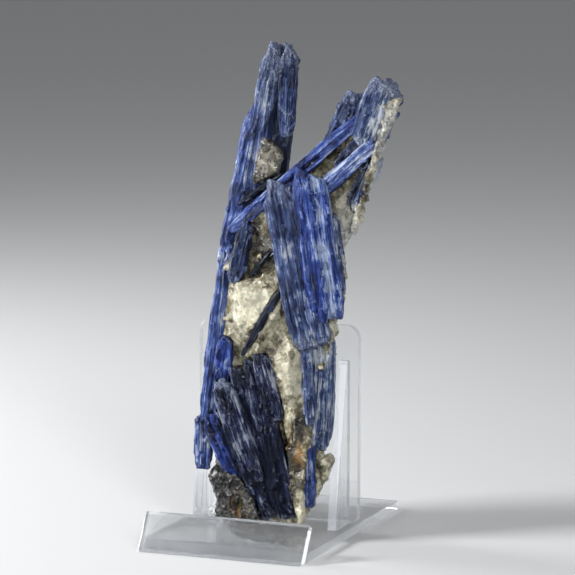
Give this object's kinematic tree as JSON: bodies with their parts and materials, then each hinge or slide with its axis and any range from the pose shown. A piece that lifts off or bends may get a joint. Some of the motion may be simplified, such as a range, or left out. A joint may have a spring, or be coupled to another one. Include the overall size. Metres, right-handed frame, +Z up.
{
  "type": "kyanite blade cluster",
  "caption": "Cluster of long blue kyanite blades grown through pale quartz, forked at the top, standing upright in a clear acrylic easel.",
  "frame": {"origin": "centre of the easel base's underside", "axes": "+X to the viewer's right, +Y away from the viewer, from the easel's lip to its back plate, +Z up"},
  "size_m": [0.0712, 0.088, 0.1573],
  "materials": {
    "kyanite": "fibrous blue crystal with a pearly gloss along the blade",
    "pale_kyanite": "silvery grey-blue fibrous crystal with a pearly gloss",
    "dark_kyanite": "near-black navy crystal, glossy on its cleavages",
    "quartz": "milky to grey translucent quartz, broken facets, ochre iron stains low on the right",
    "mica": "dark glassy mica and quartz with small ochre patches",
    "acrylic": "clear polished sheet with bright cut edges"
  },
  "bodies": {
    "root": {"easel_base": "acrylic", "easel_lip": "acrylic", "easel_back_plate": "acrylic", "easel_left_fin": "acrylic", "easel_right_fin": "acrylic", "quartz_matrix": "quartz", "quartz_pocket": "quartz", "mica_foot": "mica", "left_edge_upper_blade": "pale_kyanite", "left_edge_lower_blade": "pale_kyanite", "left_arm_front_blade": "pale_kyanite", "left_arm_ridge_blade": "kyanite", "left_arm_groove_blade": "dark_kyanite", "left_arm_back_blade": "kyanite", "crossing_main_blade": "kyanite", "crossing_sliver_blade": "dark_kyanite", "fork_tip_blade": "pale_kyanite", "fork_middle_blade": "pale_kyanite", "fork_slot_blade": "dark_kyanite", "fork_low_blade": "kyanite", "fork_wedge_blade": "dark_kyanite", "fork_rear_blade": "pale_kyanite", "centre_main_blade": "kyanite", "centre_right_blade": "kyanite", "centre_left_blade": "kyanite", "centre_far_blade": "kyanite", "centre_low_blade": "pale_kyanite", "left_inner_blade": "kyanite", "needle_upper_blade": "dark_kyanite", "needle_lower_blade": "dark_kyanite", "blue_chip_blade": "kyanite", "low_front_blade": "dark_kyanite", "low_dark_right_blade": "dark_kyanite", "low_dark_left_blade": "dark_kyanite", "low_left_blade": "dark_kyanite", "low_left_tip_blade": "pale_kyanite", "low_foot_blade": "pale_kyanite", "low_middle_blade": "dark_kyanite", "right_lower_blade": "kyanite", "right_grey_blade": "pale_kyanite", "right_pale_blade": "pale_kyanite", "back_broad_blade": "kyanite", "back_left_blade": "pale_kyanite", "back_right_blade": "kyanite", "back_slant_blade": "dark_kyanite"}
  },
  "joints": []
}
